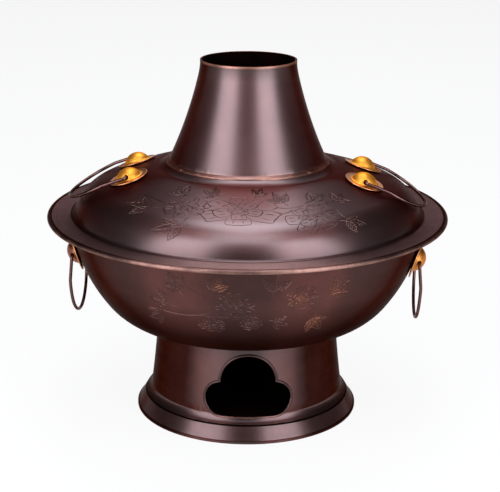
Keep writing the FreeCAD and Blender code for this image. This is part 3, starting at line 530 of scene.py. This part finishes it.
# Bronzed copper, burnished: two tall pale highlights on red-brown, bare copper at mouth and foot, and
# painted shade making it darker and duller just under the mouth.
chimney_bronze = patinated_metal(
    "bronzed_copper_burnished_chimney", ("#522724", "#603330"), 0.46, (1.0, 0.32, 1.8), "SUBTRACT",
    bared_and_highlight_colour="#A8705C", rubs_and_painted_highlights=(("height", 284.6, 286.0), ("height", 209.0, 206.4)),
    painted_shade_band=(275.0, 284.0, 0.5), glance=(0.15, 0.5))
chimney.data.materials.append(chimney_bronze)
line_inside(chimney, soot_and_painted_shade)
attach(chimney, "chimney")
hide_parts("chimney")

# ---------------------------------------------------------------- chased flowers
# Peonies and leaves, a traditional pattern, drawn on the lid and the bowl with a small round punch
# before bronzing: each line is a fine rounded ridge that catches the light.
line_radius = 0.34
line_sunk = 0.3 * line_radius


def placed(strokes, x, y, turn=0.0, size=1.0, broad=1.0):
    """The strokes turned by some degrees, resized, broadened and moved, in mm on the flat."""
    across = math.cos(math.radians(turn)) * size
    upward = math.sin(math.radians(turn)) * size
    return [[(x + broad * (u * across - v * upward), y + u * upward + v * across) for u, v in stroke]
            for stroke in strokes]


def petal(near, far, heading, spread, ruffles=3):
    """A petal from its foot round its ruffled edge and back, with two creases."""
    half_steps = 14
    edge = []
    for step in range(2 * half_steps + 1):
        across = step / half_steps - 1
        reach = near + (far - near) * (1 - abs(across) ** 3) ** 0.8
        # The edge is ruffled, and notched in the middle.
        reach += 0.05 * far * math.cos(ruffles * math.pi * across) * (1 - across ** 2)
        reach -= 0.12 * far * math.exp(-(across / 0.16) ** 2)
        angle = math.radians(heading + spread * across)
        edge.append((reach * math.cos(angle), reach * math.sin(angle)))
    strokes = [edge]
    for side in (-0.32, 0.3):
        angle = math.radians(heading + spread * side)
        strokes.append([((near + (far - near) * part) * math.cos(angle),
                         (near + (far - near) * part) * math.sin(angle)) for part in (0.3, 0.5, 0.7)])
    return strokes


def peony(radius):
    """An open flower: a heart of small petals in two wider rings of ruffled ones."""
    strokes = []
    # Each ring: its petals, where they start and end as shares of the radius, half their width in
    # degrees and the first one's heading.
    rings = ((5, 0.04, 0.28, 38, 10), (5, 0.22, 0.62, 36, 46), (6, 0.5, 1.0, 31, 20))
    for count, near, far, spread, start in rings:
        for number in range(count):
            uneven = 1 + 0.12 * math.sin(2.7 * number + start)
            heading = start + 360 * number / count
            strokes += petal(near * radius, far * radius * uneven, heading, spread * uneven,
                             3 + number % 2)
    return strokes


def leaf(length, width):
    """A pointed leaf with a toothed edge, its midrib and side veins, along +X."""
    steps = 14
    strokes = [[(0, 0), (0.5 * length, 0.03 * length), (0.96 * length, 0)]]
    for side in (-1, 1):
        edge = []
        for step in range(steps + 1):
            part = step / steps
            swell = math.sin(math.pi * part ** 0.75) * (1 + 0.14 * math.sin(9 * math.pi * part))
            edge.append((part * length, side * swell * width / 2))
        strokes.append(edge)
        for part in (0.2, 0.36, 0.52, 0.68):
            reach = 0.72 * math.sin(math.pi * (part + 0.16) ** 0.75) * width / 2
            strokes.append([(part * length, 0), ((part + 0.09) * length, side * 0.6 * reach),
                            ((part + 0.15) * length, side * reach)])
    return strokes


def leaf_spray(length):
    """Three leaves on one short stalk."""
    strokes = [[(-0.35 * length, 0), (-0.15 * length, 0.02 * length), (0, 0)]]
    for turn, size in ((0, 1.0), (48, 0.8), (-46, 0.84)):
        strokes += placed(leaf(length, 0.42 * length), 0, 0, turn, size)
    return strokes


def stem(start, middle, end):
    """A stalk on one smooth curve from its start to its end, drawn towards its middle."""
    steps = 12
    route = []
    for step in range(steps + 1):
        part = step / steps
        route.append(tuple((1 - part) ** 2 * a + 2 * part * (1 - part) * b + part ** 2 * c
                           for a, b, c in zip(start, middle, end)))
    return [route]


def chased(name, sheet, spray, reference, heading, body, material):
    """A spray laid on a sheet's outside: x runs round at the reference radius, y up the sheet."""
    lengths = [0.0]
    for (r0, z0), (r1, z1) in zip(sheet, sheet[1:]):
        lengths.append(lengths[-1] + math.hypot(r1 - r0, z1 - z0))
    routes = []
    for stroke in spray:
        route = []
        for number, (x, y) in enumerate(stroke):
            row = 0
            while row < len(sheet) - 2 and lengths[row + 1] < y:
                row += 1
            (r0, z0), (r1, z1) = sheet[row], sheet[row + 1]
            run = lengths[row + 1] - lengths[row]
            part = (y - lengths[row]) / run
            r = r0 + (r1 - r0) * part - (z1 - z0) / run * line_sunk
            z = z0 + (z1 - z0) * part + (r1 - r0) / run * line_sunk
            turn = math.radians(heading) + x / reference
            # The punch goes deeper in a stroke's middle than at its ends.
            taper = 0.55 + 0.45 * math.sin(math.pi * number / (len(stroke) - 1)) ** 0.5
            route.append((r * math.sin(turn), -r * math.cos(turn), z, taper))
        routes.append(route)
    piece = wire(name, routes, line_radius, sides=1)
    piece.data.materials.append(material)
    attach(piece, body)


# Bronzed copper in the punched lines: thin dark ridges, smooth enough to glint.
lid_line_bronze = patinated_metal(
    "bronzed_copper_chased_line_lid", ("#3A2320", "#5A3A33"), 0.3, (0.6, 0.25, 1.5), "SUBTRACT", grain=0)
lid_spray = placed(peony(20.5), -1, 42, 12, 1.0, 1.25)
lid_spray += placed(peony(16.0), 44, 29, 40, 1.0, 1.1)
lid_spray += placed(peony(13.5), -36, 41, 75, 1.0, 1.15)
for leaf_length, x, y, turn in (
        (19.0, -60, 34, 190), (17.0, -32, 19, 205), (16.0, -47, 58, 150), (15.0, -20, 62, 160),
        (12.0, 12, 63, 60), (16.0, 31, 52, 110), (17.0, 51, 50, 20), (14.0, 70, 46, 20),
        (13.0, 62, 20, -30)):
    lid_spray += placed(leaf_spray(leaf_length), x, y, turn)
lid_spray += stem((-78, 46), (-64, 46), (-52, 42))
lid_spray += stem((-32, 22), (-30, 27), (-30, 30))
lid_spray += stem((20, 42), (27, 33), (34, 42))
lid_spray += stem((24, 46), (34, 42), (44, 46))
for end, heading in (("front", 0), ("rear", 180)):
    chased(f"lid_flowers_{end}", lid_dome, lid_spray, 92.0, heading, "lid", lid_line_bronze)

# The bowl's lines are rubbed to warm copper in four places, where hands and cloths touch them.
bowl_line_bronze = patinated_metal(
    "bronzed_copper_chased_line_bowl", ("#3A1C18", "#5A332C"), 0.32, (0.7, 0.25, 1.5), bared_and_highlight_colour="#B06A44",
    spots=((45, -128, 133, 11), (69, -118, 135, 14), (54, -115, 113, 16), (-11, -139, 144, 10)), grain=0)
bowl_spray = placed(peony(14.0), -3, 114, 8, 1.0, 1.1)
bowl_spray += placed(peony(11.5), 46, 120, 30)
bowl_spray += placed(peony(8.0), -21, 94, 0, 1.0, 1.3)
bowl_spray += placed(peony(7.0), 10, 97, 50, 1.0, 1.2)
for leaf_length, x, y, turn in (
        (18.0, -42, 126, 120), (19.0, -52, 111, 165), (15.0, -62, 98, 200), (17.0, 26, 128, 80),
        (19.0, 70, 121, 40), (18.0, 58, 98, -50), (14.0, -16, 128, 70), (13.0, 28, 99, -20)):
    bowl_spray += placed(leaf_spray(leaf_length), x, y, turn)
bowl_spray += stem((-42, 137), (-34, 126), (-20, 121))
bowl_spray += stem((-66, 105), (-36, 98), (-18, 108))
bowl_spray += stem((-34, 104), (0, 100), (36, 112))
bowl_spray += stem((54, 112), (60, 108), (60, 100))
for end, heading in (("front", 0), ("rear", 180)):
    chased(f"bowl_flowers_{end}", bowl_wall, bowl_spray, 133.0, heading, "pot", bowl_line_bronze)

# ---------------------------------------------------------------- bosses
# Eight cast brass bosses, each a dome on a dished brim, riveted through the sheet in pairs; a blind
# hole across each dome takes the pin of a bail. Polished by hand, so the shine is soft.
boss_steps = 96
boss_edge = 0.25
half_spacing = 26.6
hinge_rise = 3.0
hole_radius, hole_length, hole_middle = 1.8, 9.0, 34.7
brim_from = 10.9


def rubbed_brass(name, dark, light, rough, edge_tint, coat):
    """Yellow metal with a soft shine, a little deeper in colour in patches about 3 mm across."""
    patch_size = 3 * MM
    material = bpy.data.materials.new(name)
    material.use_nodes = True
    tree = material.node_tree
    shader = tree.nodes["Principled BSDF"]
    place = node(tree, "ShaderNodeTexCoord").outputs["Object"]
    patches = node(tree, "ShaderNodeTexNoise", {"Vector": place, "Scale": 1 / patch_size,
                   "Detail": 3.0}).outputs[0]
    tone = node(tree, "ShaderNodeMapRange", {0: patches, 1: 0.3, 2: 0.7, 3: 0.0, 4: 1.0}).outputs[0]
    colour = node(tree, "ShaderNodeMix", {0: tone, 6: linear(dark), 7: linear(light)},
                  data_type="RGBA").outputs[2]
    tree.links.new(colour, shader.inputs["Base Color"])
    shine = node(tree, "ShaderNodeMapRange", {0: patches, 1: 0.3, 2: 0.7, 3: rough + 0.04,
                 4: rough - 0.04}).outputs[0]
    tree.links.new(shine, shader.inputs["Roughness"])
    shader.inputs["Metallic"].default_value = 1.0
    shader.inputs["Specular Tint"].default_value = linear(edge_tint)
    shader.inputs["Coat Weight"].default_value = coat
    shader.inputs["Coat Roughness"].default_value = 0.2
    return material


# Cast brass, polished by hand: a soft golden shine.
brass = rubbed_brass("brass_cast_hand_polished", "#E2932F", "#F0AA46", 0.5, "#F0A060", 0.0)
# Red brass, rubbed: the brims are pinker than the domes, and shine more.
brim_brass = rubbed_brass("brass_red_brim_rubbed", "#C07844", "#D08C54", 0.36, "#F0C8B0", 0.6)
# Cast brass, browned by handling: the same gold gone dark orange.
handled_brass = rubbed_brass("brass_cast_browned", "#BC7430", "#D08A40", 0.46, "#E0A070", 0.3)
# Red brass, tarnished: brown, with a shine only where it faces the light.
tarnished_brass = rubbed_brass("brass_red_tarnished", "#6E3C2C", "#8A5038", 0.4, "#D0A898", 0.6)
# From under the brim, round its edge and over the dish and the dome to the top.
boss_section = (
    [(12.5, 0.0), (14.8, 0.35)]
    + arc((15.0, 1.0), 0.6, -80, 100, 8)
    + [(14.0, 1.35), (11.4, 1.15)]
    + bend((11.4, 1.15), (10.0, 1.75), -2.0, 4)
    + bend((10.0, 1.75), (0.6, 8.38), 10.7, 14)
    + [(0.0, 8.4)])
pattern = spin_sheet("boss_pattern", boss_section, boss_steps, boss_edge)
for face in pattern.data.polygons:
    if face.center.xy.length > brim_from * MM:
        face.material_index = 1
# The seats of a pair's bosses: how far out and how high they are, and how many degrees they lean out.
seats = {"lid": (91.997, 195.493, 18.066), "side": (134.047, 135.0, 108.204)}
hinges = {}
for place, (out, height, lean_degrees) in seats.items():
    lean = math.radians(lean_degrees)
    bearing = math.atan2(half_spacing, out)
    hinge_out = out + hinge_rise * math.sin(lean) * math.cos(bearing)
    hinge_height = height + hinge_rise * math.cos(lean)
    hinges[place] = (hinge_out, hinge_height)
    for side, side_name in ((-1, "left"), (1, "right")):
        for end, end_name in ((-1, "front"), (1, "rear")):
            boss = pattern.copy()
            boss.data = pattern.data.copy()
            boss.name = boss.data.name = f"{place}_boss_{side_name}_{end_name}_casting"
            bpy.context.scene.collection.objects.link(boss)
            heading = math.atan2(end * half_spacing, side * out)
            boss.data.transform(
                Matrix.Translation((side * out * MM, end * half_spacing * MM, height * MM))
                @ Matrix.Rotation(heading, 4, "Z") @ Matrix.Rotation(lean, 4, "Y"))
            bpy.ops.object.select_all(action="DESELECT")
            bpy.ops.mesh.primitive_cylinder_add(
                vertices=32, radius=hole_radius * MM, depth=hole_length * MM,
                location=(side * hinge_out * MM, end * hole_middle * MM, hinge_height * MM),
                rotation=(math.pi / 2, 0, 0))
            cut_away(boss, bpy.context.object)
            dome = brass
            if (place, end_name) == ("side", "front"):
                dome = tarnished_brass if side_name == "left" else handled_brass
            for material in (dome, brim_brass):
                boss.data.materials.append(material)
            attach(boss, "lid" if place == "lid" else "pot")
            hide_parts(f"{place}_boss_{side_name}_{end_name}")
bpy.data.objects.remove(pattern)

# ---------------------------------------------------------------- bails
# Four handles bent from 2.6 mm wire, each a pin, an arm with a slight fold, and a rounded tip;
# they hang loose in the bosses and swing.
wire_radius = 1.3
half_width = 38.0
pin_end = 30.6
bend_radius = 3.0
arm = 20.4
fold = math.radians(8.0)
fold_radius = 25.0
corner = 30.0
tip_reach = 34.6
bend_steps, fold_steps, round_steps = 8, 6, 16
# The tip is one wide arc that runs smoothly into the two corners.
fold_run = fold_radius * math.tan(fold / 2)
corner_turn = math.pi / 2 - 2 * math.atan((tip_reach - fold_run - corner) / (half_width - corner))
tip_radius = corner + (half_width - corner) / math.cos(corner_turn)
tip_middle = fold_run - (half_width - corner) * math.tan(corner_turn)
pin_bend = bend((0.0, half_width - bend_radius), (bend_radius, half_width), -bend_radius, bend_steps)
fold_arc = bend((arm - fold_run, 0.0),
                (arm + fold_run * math.cos(fold), -fold_run * math.sin(fold)), -fold_radius, fold_steps)
half_route = [(0.0, pin_end, 0.0)]
half_route += [(x, y, 0.0) for x, y in pin_bend]
half_route += [(x, half_width, z) for x, z in fold_arc]
beyond_fold = []
for step in range(1, round_steps + 1):
    angle = corner_turn * step / round_steps
    beyond_fold.append(
        (fold_run + corner * math.sin(angle), half_width - corner + corner * math.cos(angle)))
tip_turn = math.pi / 2 - corner_turn
for step in range(1, round_steps + 1):
    angle = corner_turn + tip_turn * step / round_steps
    beyond_fold.append((tip_middle + tip_radius * math.sin(angle), tip_radius * math.cos(angle)))
half_route += [(arm + run * math.cos(fold), y, -run * math.sin(fold)) for run, y in beyond_fold]
bail_route = half_route + [(x, -y, z) for x, y, z in reversed(half_route[:-1])]
# Bronzed copper wire, drawn and so smooth: dark brown with a thin line of light along it.
bail_metal = patinated_metal(
    "bronzed_copper_drawn_wire", ("#52302B", "#643E38"), 0.27, (0.6, 0.18, 1.5), grain=0, unevenness=0.2)
# Each bail: where its bosses sit, its side, and how many degrees it hangs below level. The lid's left
# one lies a little higher than its right one.
bails = (
    ("lid_bail_left", "lid", -1, 19.28),
    ("lid_bail_right", "lid", 1, 21.48),
    ("side_bail_left", "side", -1, 84.8),
    ("side_bail_right", "side", 1, 84.8),
)
for name, place, side, hang in bails:
    bail = wire(name + "_wire", [bail_route], wire_radius, sides=6)
    out, height = hinges[place]
    bail.data.transform(
        Matrix.Translation((side * out * MM, 0, height * MM))
        @ Matrix.Rotation(0 if side > 0 else math.pi, 4, "Z")
        @ Matrix.Rotation(math.radians(hang), 4, "Y"))
    bail.data.materials.append(bail_metal)
    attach(bail, name)
    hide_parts(name)

# ---------------------------------------------------------------- studio
# A round pale floor, turned up at its far edge, under two tall soft boxes, a broad one overhead, a
# small one in front of that and a weak one behind the pot. Lengths here are in metres.
floor_radius = 15
floor_border = 0.5
floor_turned_up = 0.9
white_share = 0.9
room_light = 0.045
bpy.ops.object.select_all(action="DESELECT")
bpy.ops.mesh.primitive_circle_add(vertices=96, radius=floor_radius, fill_type="NGON")
floor = bpy.context.object
floor.name = floor.data.name = "floor"
bpy.ops.object.mode_set(mode="EDIT")
bpy.ops.mesh.select_all(action="SELECT")
bpy.ops.mesh.inset(thickness=floor_border)
bpy.ops.mesh.select_all(action="SELECT")
bpy.ops.mesh.region_to_loop()
bpy.ops.transform.translate(value=(0, 0, floor_turned_up))
bpy.ops.object.mode_set(mode="OBJECT")
# Matt white paint with no gloss. Camera, mirror and glass rays see it mostly as plain white, and the
# rest of what they see is the painted floor under the lamps, which keeps the pot's shadow.
floor_paint = bpy.data.materials.new("matt_white_floor_paint")
floor_paint.use_nodes = True
floor_tree = floor_paint.node_tree
floor_shader = floor_tree.nodes["Principled BSDF"]
floor_shader.inputs["Base Color"].default_value = linear("#EDEDED")
floor_shader.inputs["Roughness"].default_value = 1.0
floor_shader.inputs["Specular IOR Level"].default_value = 0.0
rays = node(floor_tree, "ShaderNodeLightPath").outputs
seen = node(floor_tree, "ShaderNodeMath", {0: rays["Is Camera Ray"], 1: rays["Is Glossy Ray"]},
            operation="MAXIMUM").outputs[0]
seen = node(floor_tree, "ShaderNodeMath", {0: seen, 1: rays["Is Transmission Ray"]},
            operation="MAXIMUM").outputs[0]
share = node(floor_tree, "ShaderNodeMath", {0: seen, 1: white_share}, operation="MULTIPLY").outputs[0]
white = node(floor_tree, "ShaderNodeEmission", {"Color": (1, 1, 1, 1), "Strength": 1.0}).outputs[0]
blend = node(floor_tree, "ShaderNodeMixShader", {0: share, 1: floor_shader.outputs[0], 2: white})
floor_tree.links.new(blend.outputs[0], floor_tree.nodes["Material Output"].inputs["Surface"])
floor.data.materials.append(floor_paint)

# The room itself gives a little light, the same from all sides.
world = bpy.data.worlds.new("studio")
bpy.context.scene.world = world
world.use_nodes = True
background = world.node_tree.nodes["Background"]
background.inputs["Color"].default_value = (room_light, room_light, room_light, 1)


def softbox(name, place, aim, width, height, radiance, shape="RECTANGLE"):
    """A broad soft light; its power follows from its size and how bright its face is."""
    data = bpy.data.lights.new(name, "AREA")
    data.shape = shape
    data.size = width
    data.size_y = height
    # The light is a little cool.
    data.color = (0.94, 0.98, 1.08)
    data.energy = radiance * math.pi * width * height * (math.pi / 4 if shape == "ELLIPSE" else 1)
    lamp = bpy.data.objects.new(name, data)
    bpy.context.scene.collection.objects.link(lamp)
    lamp.location = place
    lamp.rotation_euler = (Vector(aim) - Vector(place)).to_track_quat("-Z", "Y").to_euler()


box_distance = 0.85
box_height = 0.64
for name, azimuth in (("softbox_left", -40), ("softbox_right", 42)):
    turn = math.radians(azimuth)
    spot = (box_distance * math.sin(turn), -box_distance * math.cos(turn), box_height)
    softbox(name, spot, (0, 0, box_height), 0.6, 1.24, 4.1)
softbox("overhead", (0, 0.48, 1.65), (0, 0.1, 0.1), 0.9, 1.6, 4.2, "ELLIPSE")
softbox("back_fill", (0, 1.9, 1.2), (0, 0, 0.2), 1.6, 1.2, 0.7)
softbox("front_top", (0, -0.65, 1.55), (0, 0, 0.2), 0.9, 0.7, 3.0)

# ---------------------------------------------------------------- camera
# A long lens about 1.1 m away and half a metre up, looking down about 17 degrees.
# Lengths are in metres.
camera_turn = math.radians(3.0)
camera_distance, camera_height = 1.120, 0.477
camera_tilt = math.radians(90 - 17.03)
camera_roll = math.radians(0.42)
camera_data = bpy.data.cameras.new("camera")
camera_data.lens = 103.97
camera_data.sensor_width = 36
camera_data.shift_x = 0.0054
camera = bpy.data.objects.new("camera", camera_data)
bpy.context.scene.collection.objects.link(camera)
bpy.context.scene.camera = camera
camera.matrix_world = (
    Matrix.Translation(
        (camera_distance * math.sin(camera_turn), -camera_distance * math.cos(camera_turn), camera_height))
    @ Matrix.Rotation(camera_turn, 4, "Z")
    @ Matrix.Rotation(camera_tilt, 4, "X")
    @ Matrix.Rotation(camera_roll, 4, "Z"))
bpy.context.scene.view_settings.view_transform = "Standard"
